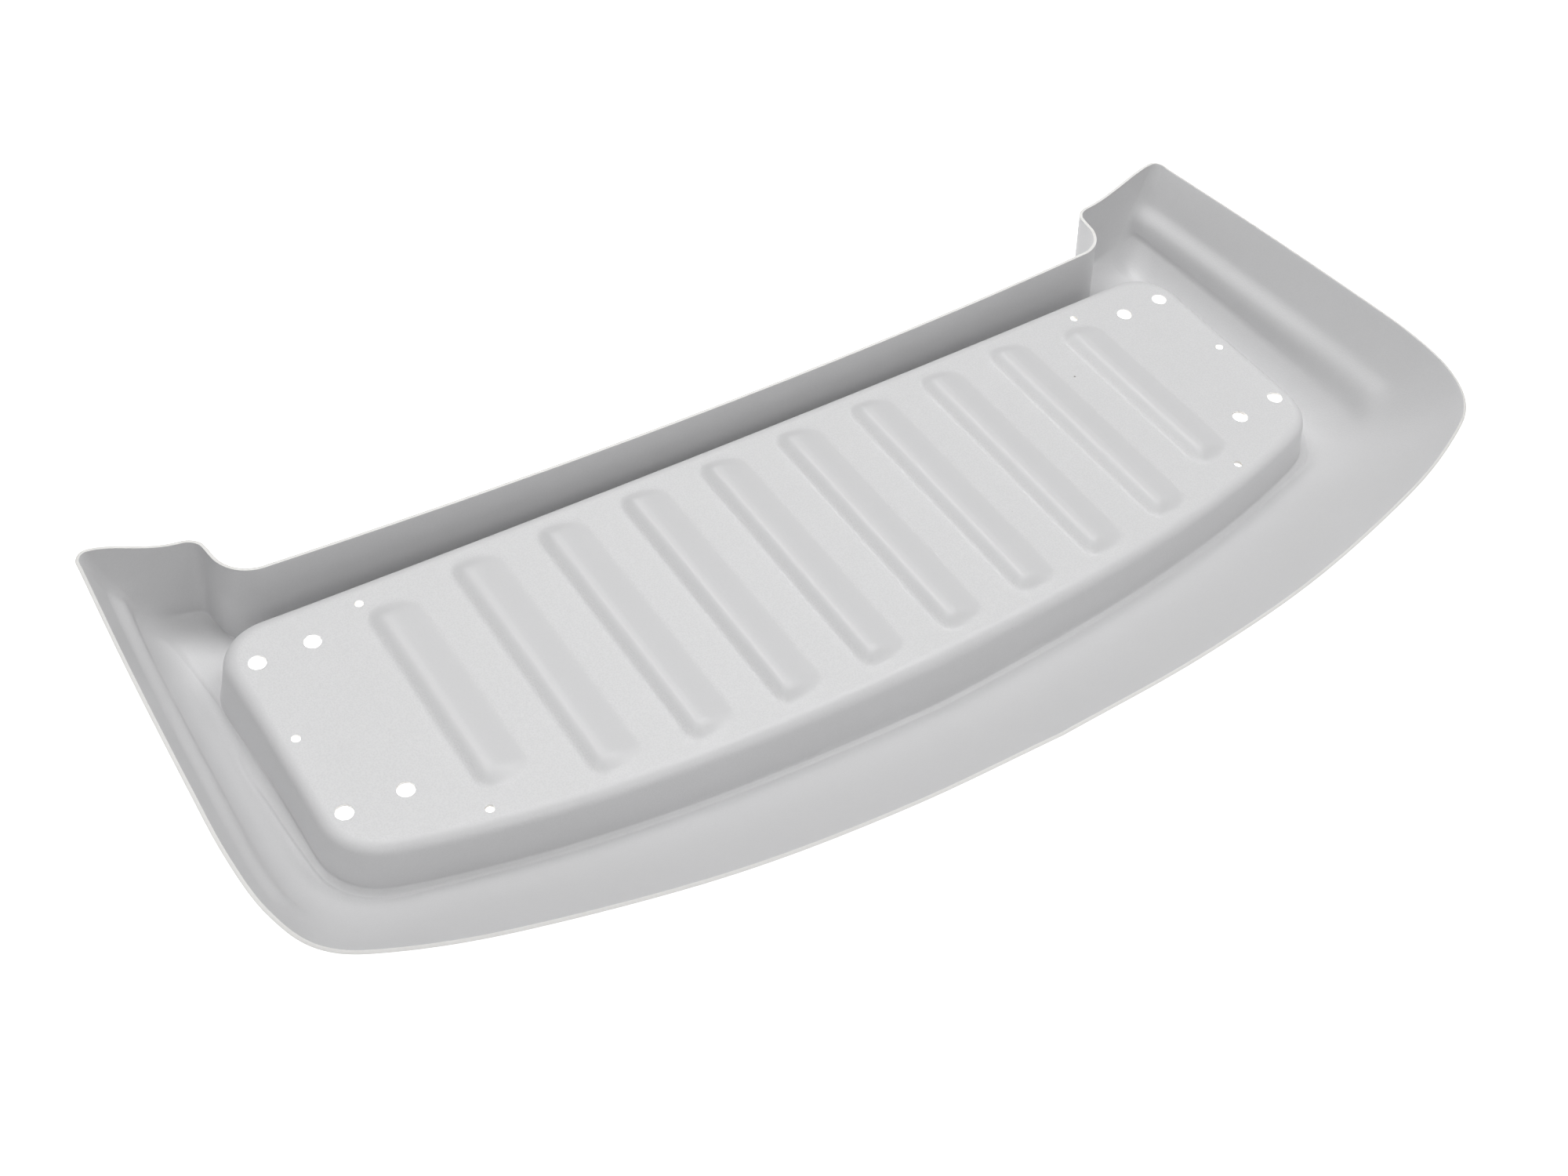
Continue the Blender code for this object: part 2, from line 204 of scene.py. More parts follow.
def rimLine():
    # Outer edge of the rim over half the tray, and where its pieces join
    half, turn = tray["rearHalf"], tray["stepTurn"]
    parts = [[(x, tray["rearRim"] - tray["rearBow"] * (1 - (x / half) ** 2))
              for x in np.linspace(0, half, 80)]]
    inR, outR = tray["stepIn"], tray["stepOut"]
    parts.append([(half + inR * math.sin(a), tray["rearRim"] + inR * (1 - math.cos(a)))
                  for a in np.linspace(0, turn, 40)])
    runStart = np.array(parts[-1][-1])
    way = np.array([math.cos(turn), math.sin(turn)])
    runEnd = runStart + way * tray["stepRun"]
    parts.append([runStart, runEnd])
    centre = runEnd + np.array([way[1], -way[0]]) * outR
    parts.append([centre + np.array([-math.sin(a), math.cos(a)]) * outR
                  for a in np.linspace(turn, 0, 30)])
    r = tray["earRadius"]
    earEnd = np.array([tray["earCorner"][0] - r, tray["earCorner"][1]])
    parts.append([centre + np.array([0, outR]), earEnd])
    parts.append([earEnd + np.array([math.sin(a), math.cos(a) - 1]) * r
                  for a in np.linspace(0, math.pi / 2, 20)])
    low, high = tray["rearHalf"], tray["earCorner"][0] - r / 2
    raised = []
    for part in parts:
        dense = Line(part)
        dense = dense.at(np.linspace(0, dense.length, 60))
        share = smooth((dense[:, 0] - low) / (high - low)) ** tray["earRise"]
        raised.append(np.column_stack([dense, mix(tray["rearRimZ"], tray["earZ"], share)]))
    sweep = np.array(throughPoints(tray["sweep"], 40))
    raised[-1] = np.vstack([raised[-1], sweep[0]])
    raised += [sweep[:121], sweep[120:281], sweep[280:]]
    joints, gone = [0.0], 0.0
    for part in raised:
        gone += Line(part).length
        joints.append(gone)
    return Line(np.vstack(raised)), np.array(joints)


def bezier(points, t):
    # Any degree, row by row: points is a list of (sections, 3) arrays, t a list of numbers
    rows = []
    for u in t:
        level = list(points)
        while len(level) > 1:
            level = [a * (1 - u) + b * u for a, b in zip(level, level[1:])]
        rows.append(level[0])
    return rows


def blurred(values, spots, reach):
    # Gaussian average along the rim, with its own reach for each section
    weight = np.exp(-0.5 * ((spots[None, :] - spots[:, None]) / np.maximum(reach, 1e-5)[:, None]) ** 2)
    weight *= np.gradient(spots)[None, :]
    return weight @ values / weight.sum(1)[:, None]


def floorRelief(x, y):
    # Height of the tray's floor over its general level
    a, b = np.array(tray["foldFrom"]), np.array(tray["foldTo"])
    way = (b - a) / np.linalg.norm(b - a)
    behind = (x - a[0]) * -way[1] + (y - a[1]) * way[0]
    inEar = smooth((y + 0.02) / 0.02)
    fold = tray["foldHigh"] * np.exp(-(behind / tray["foldWide"]) ** 2)
    drop = mix(tray["channelDrop"], tray["earDrop"], smooth((np.abs(x) - 0.372) / 0.036))
    run = mix(tray["channelRun"] * 0.72, tray["channelRun"], smooth((np.abs(x) - 0.372) / 0.036))
    return inEar * (fold - drop * smooth(behind / run))


def skinSections():
    rim, joints = rimLine()
    deck = deckLine()
    spots = np.concatenate([np.linspace(a, b, n, endpoint=False)
                            for a, b, n in zip(joints, joints[1:], tray["sections"])] + [[joints[-1]]])
    along = lambda values: softRun(joints, values)(spots)
    deckAt = along((0, 0.345, 0.385, 0.389, 0.404, 0.418, 0.428, 0.530, 0.650, 1)) * deck.length
    edge, edgeOut = deck.at(deckAt), deck.outward(deckAt)
    rimTop, rimOut = rim.at(spots), rim.outward(spots)

    def lifted(plan, z):
        return np.column_stack([plan, np.broadcast_to(z, len(plan))])

    floor = tray["floor"] + along((0, 0, 0, 0, 0, 0, 0.0010, 0.0030, 0.0035, 0))
    # one value for each joint of the rim, from the middle of the rear round to the middle of the front
    shiftX = along((0, 0.004, 0.005, 0.005, 0.005, -0.034, -0.037, -0.040, 0, 0))
    shiftY = along((-0.006, -0.006, -0.005, -0.005, -0.004, -0.004, -0.004, 0, 0, 0))
    hug = along((0, 0, 0, 0, 0, 0, 0, 1, 1, 1))[:, None]
    gutter = along((0, 0, 0, 0, 0, 0, 0.25, 0.22, 0.03, 0.03))[:, None]
    sagOut = along((0.1,) * 7 + (0.12, 0.06, 0.08))[:, None]
    sagDown = along((0.1,) * 6 + (0.15, 0.18, 0.12, 0.14))
    lean = along((0.003, 0.003, 0.003, 0.003, 0.004, 0.005, 0.006, 0.0050, 0.0045, 0.0065))
    floorBlend = along((0.45, 0.45, 0.45, 0.45, 0.35, 0.45, 0.50, 0.45, 0.40, 0.40))[:, None]
    wallBlend = along((0.05, 0.05, 0.06, 0.06, 0.08, 0.24, 0.36, 0.30, 0.12, 0.10))[:, None]
    cornerReach = along((0, 0, 0, 0.002, 0.012, 0.024, 0.024, 0.004, 0, 0))
    creaseAt = along((0, 0, 0, 0, 0, 0, 0.010, 0.0100, 0.0048, 0.0030))
    creaseShare = along((0, 0, 0, 0, 0, 0, 0, 1, 0.9, 0.3))

    r = tray["shoulder"] - along((0, 0, 0, 0, 0, 0, 0.0010, 0.0028, 0.0028, 0))
    tilt = np.arctan2(lean, -floor - r)
    rows = []
    for k in range(11):
        a = ((math.pi / 2 - tilt) * k / 10)[:, None]
        rows.append(lifted(edge + edgeOut * r[:, None] * np.sin(a), -r * (1 - np.cos(a[:, 0]))))
    wallTop = rows[-1]
    toe = lifted(edge + edgeOut * (r + lean)[:, None], floor)
    rimIn = lifted(rimTop[:, :2] - rimOut * (tray["sheet"] + 0.0004), rimTop[:, 2] - 0.0001)
    near = mix(toe[:, :2] + edgeOut * 0.0020, rimIn[:, :2], gutter)
    far = rimIn[:, :2] + np.column_stack([shiftX, shiftY])
    foot = lifted(blurred(mix(far, near, hug), spots, cornerReach), floor)
    # down the deck's wall, round the toe and over the floor to the foot of the outer wall
    down = (wallTop - toe) / np.linalg.norm(wallTop - toe, axis=1)[:, None]
    across = foot - toe
    reach = np.linalg.norm(across, axis=1)[:, None]
    across = across / reach
    bite = np.minimum(tray["toeFillet"], 0.42 * reach)
    wallEnd, floorStart = toe + down * bite, toe + across * bite
    rows += [mix(wallTop, wallEnd, k / 7) for k in range(1, 8)]
    toeRow = len(rows)
    rows += bezier([wallEnd, mix(wallEnd, toe, 0.8), mix(floorStart, toe, 0.8), floorStart],
                   [k / 7 for k in range(1, 8)])
    # outer wall as a curve from the foot to the rim; its lower part is replaced by the fillet
    way = rimIn[:, :2] - foot[:, :2]
    knee = mix(foot, rimIn, 0.5)
    knee[:, :2] += way * sagOut
    knee[:, 2] -= (rimIn[:, 2] - foot[:, 2]) * sagDown
    start = mix(floorStart, foot, 1 - floorBlend)
    rows += [mix(floorStart, start, k / 14) for k in range(1, 15)]
    meet = foot * (1 - wallBlend) ** 2 + knee * 2 * wallBlend * (1 - wallBlend) + rimIn * wallBlend ** 2
    rows += bezier([start, foot, mix(foot, knee, wallBlend), meet], [k / 12 for k in range(1, 13)])
    inward = -way / np.linalg.norm(way, axis=1)[:, None]
    for k in range(1, 31):
        t = wallBlend + (1 - wallBlend) * (k / 30)
        point = foot * (1 - t) ** 2 + knee * 2 * t * (1 - t) + rimIn * t ** 2
        off = t[:, 0] - tray["beadAt"]
        fromEnd = np.minimum(tray["beadEnds"][0] - point[:, 1], point[:, 1] - tray["beadEnds"][1])
        press = tray["bead"] * smooth(fromEnd / 0.016) * (rimIn[:, 0] > 0.42)
        swell = smooth(1 - np.where(off < 0, -off / tray["beadBelow"], off / tray["beadAbove"])) * press
        rows.append(point + np.column_stack([inward, np.full(len(inward), 0.5)]) * swell[:, None])
    rows = np.array(rows)
    x, y, z = rows[..., 0], rows[..., 1], rows[..., 2].copy()
    depth = smooth(z / floor[None, :])
    rows[..., 2] += floorRelief(x, y) * depth
    fromToe = np.linalg.norm(rows[..., :2] - toe[None, :, :2], axis=2)
    inner = smooth((creaseAt[None, :] + tray["creaseWide"] / 2 - fromToe) / tray["creaseWide"])
    rows[toeRow:, :, 2] += (tray["creaseHigh"] * inner * creaseShare[None, :] * depth)[toeRow:]
    rows[:, 0, 0] = 0.0
    rows[:, -1, 0] = 0.0
    return rows


def ridgeAt(x, y):
    # Height of the pressed ridges, and how far the sheet was stretched smooth over them
    height, stretched = np.zeros_like(x), np.zeros_like(x)
    for k in range(tray["ridges"]):
        middle = (k - (tray["ridges"] - 1) / 2) * tray["pitch"]
        outermost = smooth((abs(middle) - tray["outerFrom"]) / tray["outerOver"])
        front = deckFrontAt(middle) + tray["ridgeFrontMargin"] + tray["outerFront"] * outermost
        rear = tray["ridgeRear"] - tray["outerRear"] * outermost
        off = x - middle - tray["crest"]
        u = np.where(off < 0, -off / tray["steepSide"], off / tray["easySide"])
        v = np.maximum((front + tray["frontEnd"] - y) / tray["frontEnd"],
                       (y - rear + tray["rearEnd"]) / tray["rearEnd"])
        r = np.hypot(u, np.maximum(v, 0))
        steep = 0.55 * np.cos(math.pi / 2 * np.clip(r, 0, 1)) + 0.45 * (1 - smooth((r - 0.06) / 0.94))
        easy = 1 - np.clip((r - 0.14) / 0.86, 0, 1)
        easy = easy * 0.8 + smooth(easy) * 0.2
        side = smooth((off + 0.0025) / 0.005)
        strength = mix(tray["faintest"], 1.0, float(smooth((k - 0.5) / 3)))   # fainter at the left end
        height += tray["ridgeHeight"] * strength * mix(steep, easy, side)
        stretched = np.maximum(stretched, smooth((1.05 - r) / 0.16) * smooth((off + 0.010) / 0.006))
    return height, stretched


def deckFill(edge):
    # Inside of the deck: points spread over it, tied to its edge and to the holes
    points = [tuple(p) for p in edge[:, :2]]
    loops = [list(range(len(points)))]
    holes = []
    for radius, places in ((tray["bigHole"], tray["bigHoles"]), (tray["smallHole"], tray["smallHoles"])):
        holes += [(x, y, radius) for x, y in places]
    for x, y, radius in holes:
        count = 40 if radius > 0.005 else 28
        for grow in (1.0, 1.25, 1.6):
            ring = [(x + radius * grow * math.cos(2 * math.pi * k / count),
                     y + radius * grow * math.sin(2 * math.pi * k / count)) for k in range(count)]
            if grow == 1.0:
                loops.append(list(range(len(points), len(points) + count)))
            points += ring
    across, deep = tray["gridAcross"], tray["gridDeep"]
    rim = np.asarray(edge[:, :2])
    for j in range(1, 90):
        y = deckRearAt(0.41) - deep * j
        for i in range(0, 250):
            x = across * i + 1e-5 * (j % 2)
            if x > tray["deckHalf"] or y > deckRearAt(x) - 0.001 or y < deckFrontAt(x) + 0.001:
                continue
            if any(math.hypot(x - hx, y - hy) < 1.85 * r for hx, hy, r in holes):
                continue
            if x > 0.30 or y < deckFrontAt(x) + 0.006 or y > deckRearAt(x) - 0.006:
                gaps = rim - (x, y)
                nearest = int(np.argmin((gaps ** 2).sum(1)))
                if math.hypot(*gaps[nearest]) < 0.0014 or not insideOf(rim, nearest, x, y):
                    continue
            points.append((x, y))
    sides = [(a, b) for loop in loops for a, b in zip(loop, loop[1:] + loop[:1])]
    made, _, faces, origin, _, _ = geometry.delaunay_2d_cdt([Vector(p) for p in points], sides, [], 1, 1e-7)
    kept = []
    for face in faces:
        cx = sum(made[k].x for k in face) / len(face)
        cy = sum(made[k].y for k in face) / len(face)
        if all(math.hypot(cx - hx, cy - hy) > 0.97 * r for hx, hy, r in holes):
            kept.append(face)
    return made, kept, origin


def insideOf(rim, nearest, x, y):
    # The edge runs clockwise seen from above, so the deck lies to its right
    a, b = rim[max(nearest - 1, 0)], rim[min(nearest + 1, len(rim) - 1)]
    return (b[0] - a[0]) * (y - a[1]) - (b[1] - a[1]) * (x - a[0]) < 0


def buildSkin():
    rows = skinSections()
    rowCount, sectionCount = rows.shape[:2]
    verts = list(rows.reshape(-1, 3))
    faces = []
    for i in range(rowCount - 1):
        for j in range(sectionCount - 1):
            a, b = i * sectionCount + j, (i + 1) * sectionCount + j
            faces.append((a, b, b + 1, a + 1))
    made, fill, origin = deckFill(rows[0])
    index = []
    for k, place in enumerate(made):
        source = origin[k][0] if origin[k] else -1
        if 0 <= source < sectionCount:
            index.append(source)
        else:
            index.append(len(verts))
            verts.append(np.array([place.x, place.y, 0.0]))
    faces += [tuple(index[k] for k in face) for face in fill]
    half = np.array(verts)
    # second half: a mirrored copy that shares the points of the middle
    onMiddle = np.abs(half[:, 0]) < 1e-7
    twin = np.where(onMiddle, np.arange(len(half)), -1)
    twin[~onMiddle] = len(half) + np.arange((~onMiddle).sum())
    other = half[~onMiddle] * (-1, 1, 1)
    whole = np.vstack([half, other])
    faces += [tuple(int(twin[k]) for k in reversed(face)) for face in faces]
    # ridges in the deck, and where their pressing took the grain and its painted sparkle off
    x, y, z = whole.T
    onDeck = z > -1e-6
    onDeck &= np.abs(x) < tray["deckHalf"] + 0.002
    onDeck &= (y > -0.2165) & (y < 0.0275)
    raised, stretched = ridgeAt(x, y)
    whole[:, 2] += np.where(onDeck, raised, 0.0)
    # the lower share on the walls and on stretched bands also thins the painted sparkle, so these surfaces
    # come out darker in colour
    grainAndSparkleLeft = np.where(onDeck, 1 - tray["stretchLoss"] * stretched, tray["wallGrainAndSparkle"])
    mesh = bpy.data.meshes.new("traySkin")
    mesh.from_pydata((whole + datum).tolist(), [], faces)
    bm = bmesh.new()
    bm.from_mesh(mesh)
    bmesh.ops.recalc_face_normals(bm, faces=bm.faces)
    if sum(face.normal.z * face.calc_area() for face in bm.faces) < 0:
        bmesh.ops.reverse_faces(bm, faces=bm.faces)
    bm.to_mesh(mesh)
    bm.free()
    grain = mesh.attributes.new("grainAndSparkleShare", "FLOAT", "POINT")
    grain.data.foreach_set("value", grainAndSparkleLeft.astype(np.float32))
    return mesh


def finishMesh(obj, sharpAngle):
    # Modifiers are made real, then only true edges stay sharp
    bpy.context.view_layer.update()
    solid = bpy.data.meshes.new_from_object(obj.evaluated_get(bpy.context.evaluated_depsgraph_get()))
    solid.name = obj.name
    obj.modifiers.clear()
    obj.data = solid
    for polygon in solid.polygons:
        polygon.use_smooth = True
    solid.set_sharp_from_angle(angle=math.radians(sharpAngle))
    return obj


def newPiece(name, mesh, *materials):
    obj = bpy.data.objects.new(name, mesh)
    bpy.context.scene.collection.objects.link(obj)
    for material in materials:
        mesh.materials.append(material)
    return obj


def newGroup(name, inputs, outputs):
    group = bpy.data.node_groups.new(name, "ShaderNodeTree")
    for label, kind, value in inputs:
        socket = group.interface.new_socket(label, in_out="INPUT", socket_type=kind)
        if value is not None:
            socket.default_value = value
    for label, kind in outputs:
        group.interface.new_socket(label, in_out="OUTPUT", socket_type=kind)
    return group, group.nodes.new("NodeGroupInput"), group.nodes.new("NodeGroupOutput")


def addNode(tree, kind, values=(), **settings):
    node = tree.nodes.new(kind)
    for key, value in settings.items():
        setattr(node, key, value)
    for key, value in dict(values).items():
        node.inputs[key].default_value = value
    return node


def calc(tree, operation, a, b=None, c=None):
    node = tree.nodes.new("ShaderNodeMath")
    node.operation = operation
    for socket, value in zip(node.inputs, (a, b, c)):
        if isinstance(value, bpy.types.NodeSocket):
            tree.links.new(value, socket)
        elif value is not None:
            socket.default_value = value
    return node.outputs[0]


def span(tree, value, low, high, outLow=0.0, outHigh=1.0):
    node = addNode(tree, "ShaderNodeMapRange", {1: low, 2: high, 3: outLow, 4: outHigh})
    node.interpolation_type = "SMOOTHSTEP"
    tree.links.new(value, node.inputs[0])
    return node.outputs[0]


def blendColours(tree, share, a, b, mode="MIX"):
    node = tree.nodes.new("ShaderNodeMix")
    node.data_type, node.blend_type = "RGBA", mode
    for socket, value in ((node.inputs[0], share), (node.inputs[6], a), (node.inputs[7], b)):
        if isinstance(value, bpy.types.NodeSocket):
            tree.links.new(value, socket)
        else:
            socket.default_value = value if isinstance(value, float) else (*value, 1.0)
    return node.outputs[2]


def sheetGrainGroup():
    # Fine pebbled grain of rolled plastic sheet, and a mask of its pebble tops that is used for painted
    # sparkle
    group, given, out = newGroup(
        "sheetGrain", [("Vector", "NodeSocketVector", None), ("Size", "NodeSocketFloat", 1.0),
                       ("Share", "NodeSocketFloat", 1.0)],
        [("Height", "NodeSocketFloat"), ("Mask", "NodeSocketFloat")])
    fine = addNode(group, "ShaderNodeTexNoise", {"Detail": 2.0, "Roughness": 0.6})
    pebble = addNode(group, "ShaderNodeTexVoronoi", {"Randomness": 1.0}, feature="SMOOTH_F1")
    for node, scale in ((fine, 1500.0), (pebble, 820.0)):
        group.links.new(given.outputs["Vector"], node.inputs["Vector"])
        group.links.new(calc(group, "MULTIPLY", given.outputs["Size"], scale), node.inputs["Scale"])
    both = calc(group, "ADD", calc(group, "MULTIPLY", fine.outputs[0], 0.55),
                calc(group, "MULTIPLY", pebble.outputs["Distance"], 0.75))
    level = calc(group, "SUBTRACT", both, 0.6)   # about zero on average, so a change of share leaves no step
    group.links.new(calc(group, "MULTIPLY", level, given.outputs["Share"]), out.inputs["Height"])
    # pebble-top mask: lightens the colour as a painted sparkle of light on the grain
    group.links.new(calc(group, "MULTIPLY", span(group, both, 0.35, 0.75), given.outputs["Share"]),
                    out.inputs["Mask"])
    return group


def handlingGroup():
    # Faint cloudiness, sparse dark specks and short rubbed streaks
    group, given, out = newGroup(
        "handlingMarks", [("Vector", "NodeSocketVector", None), ("Specks", "NodeSocketFloat", 1.0)],
        [("Cloud", "NodeSocketFloat"), ("Speck", "NodeSocketFloat"), ("Rub", "NodeSocketFloat")])
    cloud = addNode(group, "ShaderNodeTexNoise", {"Scale": 7.0, "Detail": 4.0, "Roughness": 0.55})
    speck = addNode(group, "ShaderNodeTexVoronoi", {"Scale": 26.0, "Randomness": 1.0})
    chance = addNode(group, "ShaderNodeTexWhiteNoise")
    stretch = addNode(group, "ShaderNodeMapping", {"Scale": (30.0, 5.0, 12.0), "Rotation": (0.2, 0.1, 0.9)})
    rub = addNode(group, "ShaderNodeTexNoise", {"Scale": 3.0, "Detail": 5.0, "Roughness": 0.7})
    for node in (cloud, speck, stretch):
        group.links.new(given.outputs["Vector"], node.inputs["Vector"])
    group.links.new(stretch.outputs[0], rub.inputs["Vector"])
    group.links.new(speck.outputs["Position"], chance.inputs["Vector"])
    dot = span(group, speck.outputs["Distance"], 0.014, 0.030, 1.0, 0.0)
    rare = span(group, chance.outputs["Value"], 0.86, 0.90)
    group.links.new(cloud.outputs[0], out.inputs["Cloud"])
    group.links.new(calc(group, "MULTIPLY", calc(group, "MULTIPLY", dot, rare), given.outputs["Specks"]),
                    out.inputs["Speck"])
    group.links.new(span(group, rub.outputs[0], 0.62, 0.80), out.inputs["Rub"])
    return group


sheetGrain = sheetGrainGroup()
handlingMarks = handlingGroup()

plastic = {
    "colour": (0.675, 0.675, 0.683), "cloudColour": (0.650, 0.650, 0.654), "speckColour": (0.10, 0.09, 0.08),
    "roughness": 0.34, "roughVary": 0.08, "grainDepth": 0.00036, "grainSize": 1.0, "specular": 0.55,
}


def plasticMaterial(name, settings, grainAndSparkleShare=None):
    material = bpy.data.materials.new(name)
    material.use_nodes = True
    tree = material.node_tree
    shader = tree.nodes["Principled BSDF"]
    place = addNode(tree, "ShaderNodeTexCoord")
    grain = addNode(tree, "ShaderNodeGroup", node_tree=sheetGrain)
    marks = addNode(tree, "ShaderNodeGroup", node_tree=handlingMarks)
    grain.inputs["Size"].default_value = settings["grainSize"]
    for node in (grain, marks):
        tree.links.new(place.outputs["Object"], node.inputs["Vector"])
    if grainAndSparkleShare is None:
        share = addNode(tree, "ShaderNodeAttribute", attribute_name="grainAndSparkleShare").outputs["Fac"]
        tree.links.new(share, grain.inputs["Share"])
    else:
        grain.inputs["Share"].default_value = grainAndSparkleShare
    colour = blendColours(tree, marks.outputs["Cloud"], settings["colour"], settings["cloudColour"])
    # painted sparkle: pebble tops mixed toward white, as light glinting on the grain would look
    colour = blendColours(tree, calc(tree, "MULTIPLY", grain.outputs["Mask"], 0.12), colour, (1.0, 1.0, 1.0))
    colour = blendColours(tree, calc(tree, "MULTIPLY", marks.outputs["Speck"], 0.75), colour,
                          settings["speckColour"])
    tree.links.new(colour, shader.inputs["Base Color"])
    rough = calc(tree, "ADD", settings["roughness"], calc(tree, "MULTIPLY", marks.outputs["Cloud"],
                                                        settings["roughVary"]))
    rough = calc(tree, "SUBTRACT", rough, calc(tree, "MULTIPLY", marks.outputs["Rub"], 0.08))
    tree.links.new(rough, shader.inputs["Roughness"])
    shader.inputs["Specular IOR Level"].default_value = settings["specular"]
    bump = addNode(tree, "ShaderNodeBump", {"Strength": 0.55, "Distance": settings["grainDepth"]})
    tree.links.new(grain.outputs["Height"], bump.inputs["Height"])
    tree.links.new(bump.outputs[0], shader.inputs["Normal"])
    return material


formedPlastic = plasticMaterial("formedPlastic", plastic)
# the cut edge's pale colour is a painted highlight, standing in for the bright line of light along the rim
# and hole edges
cutEdgePaintedHighlight = plasticMaterial("cutEdgePaintedHighlight", {**plastic, "colour": (0.86, 0.85, 0.83),
                                      "cloudColour": (0.82, 0.81, 0.79), "roughness": 0.6,
                                      "grainSize": 0.6}, grainAndSparkleShare=0.8)
print("plastic made")

traySkin = newPiece("traySkin", buildSkin(), formedPlastic, cutEdgePaintedHighlight)
solidify = traySkin.modifiers.new("sheet", "SOLIDIFY")
solidify.thickness = tray["sheet"]
solidify.offset = -1
solidify.material_offset_rim = 1
ease = traySkin.modifiers.new("easedCut", "BEVEL")
ease.width = tray["easedCut"]
ease.segments = 2
ease.limit_method = "ANGLE"
ease.angle_limit = math.radians(tray["cutAngle"])
finishMesh(traySkin, tray["smoothAngle"])
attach(traySkin, "root")
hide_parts("tray_skin")
print("tray skin made:", len(traySkin.data.polygons), "faces")


# Plywood board and battens under the deck
plywood = {
    "face": (0.52, 0.37, 0.22), "dark": (0.36, 0.23, 0.12), "pale": (0.66, 0.51, 0.34),
    "roughness": 0.62, "grainDepth": 0.0004,
}


def plywoodMaterial(name, settings, plies, along):
    material = bpy.data.materials.new(name)
    material.use_nodes = True
    tree = material.node_tree
    shader = tree.nodes["Principled BSDF"]
    place = addNode(tree, "ShaderNodeTexCoord")
    stretch = addNode(tree, "ShaderNodeMapping", {"Scale": along})
    tree.links.new(place.outputs["Object"], stretch.inputs["Vector"])
    figure = addNode(tree, "ShaderNodeTexNoise", {"Scale": 9.0, "Detail": 8.0, "Roughness": 0.62,
                                                  "Distortion": 0.6})
    pores = addNode(tree, "ShaderNodeTexNoise", {"Scale": 90.0, "Detail": 3.0})
    for node in (figure, pores):
        tree.links.new(stretch.outputs[0], node.inputs["Vector"])
    parts = addNode(tree, "ShaderNodeSeparateXYZ")
    tree.links.new(place.outputs["Object"], parts.inputs[0])
    layer = calc(tree, "FRACT", calc(tree, "MULTIPLY", parts.outputs["Z"], plies))
    layer = span(tree, layer, 0.42, 0.58)
    facing = addNode(tree, "ShaderNodeNewGeometry")
    up = addNode(tree, "ShaderNodeSeparateXYZ")
    tree.links.new(facing.outputs["True Normal"], up.inputs[0])
    onEdge = span(tree, calc(tree, "ABSOLUTE", up.outputs["Z"]), 0.5, 0.8, 1.0, 0.0)
    colour = blendColours(tree, span(tree, figure.outputs[0], 0.35, 0.68), settings["dark"], settings["face"])
    colour = blendColours(tree, calc(tree, "MULTIPLY", span(tree, pores.outputs[0], 0.5, 0.75), 0.35),
                          colour, settings["pale"])
    edge = blendColours(tree, layer, settings["dark"], settings["pale"])
    colour = blendColours(tree, onEdge, colour, edge)
    tree.links.new(colour, shader.inputs["Base Color"])
    tree.links.new(calc(tree, "ADD", settings["roughness"], calc(tree, "MULTIPLY", pores.outputs[0], 0.2)),
                   shader.inputs["Roughness"])
    bump = addNode(tree, "ShaderNodeBump", {"Strength": 0.4, "Distance": settings["grainDepth"]})
    tree.links.new(calc(tree, "ADD", figure.outputs[0], pores.outputs[0]), bump.inputs["Height"])
    tree.links.new(bump.outputs[0], shader.inputs["Normal"])
    return material


boardPly = plywoodMaterial("boardPlywood", plywood, 330.0, (0.35, 3.0, 3.0))
battenPly = plywoodMaterial("battenPlywood", {**plywood, "face": (0.56, 0.41, 0.25)}, 330.0, (0.4, 4.0, 4.0))
for name, material in (("core_board", boardPly), ("rear_batten", battenPly), ("front_batten", battenPly)):
    node = frame["nodes"][name]
    for slot in node.material_slots:
        slot.material = material
print("plywood assigned")


# Floor, light and camera
studio = {
    "floorColour": (0.93, 0.93, 0.93), "floorSeen": 0.9, "floorGlow": 0.35, "room": 0.240,
    "patch": {"x": 0.355, "y": float(datum[1]) - 0.062, "wide": 0.070, "deep": 0.098, "soft": 0.020,
              "glow": 2.7},
    "floorHalf": 6.0, "floorGap": 0.0006, "size": 1.1,
    # azimuth from the front, elevation, distance, power
    "lights": {"top": (90, 74, 1.5, 5.6), "topBack": (180, 65, 2.4, 11.8),
               "topLeft": (270, 65, 2.4, 6.4), "topRight": (90, 65, 2.4, 5.2),
               "frontLeft": (315, 38, 2.4, 2.2), "front": (0, 38, 2.4, 6.2),
               "backLeft": (225, 50, 2.4, 3.0), "back": (165, 45, 2.4, 2.6)},
}


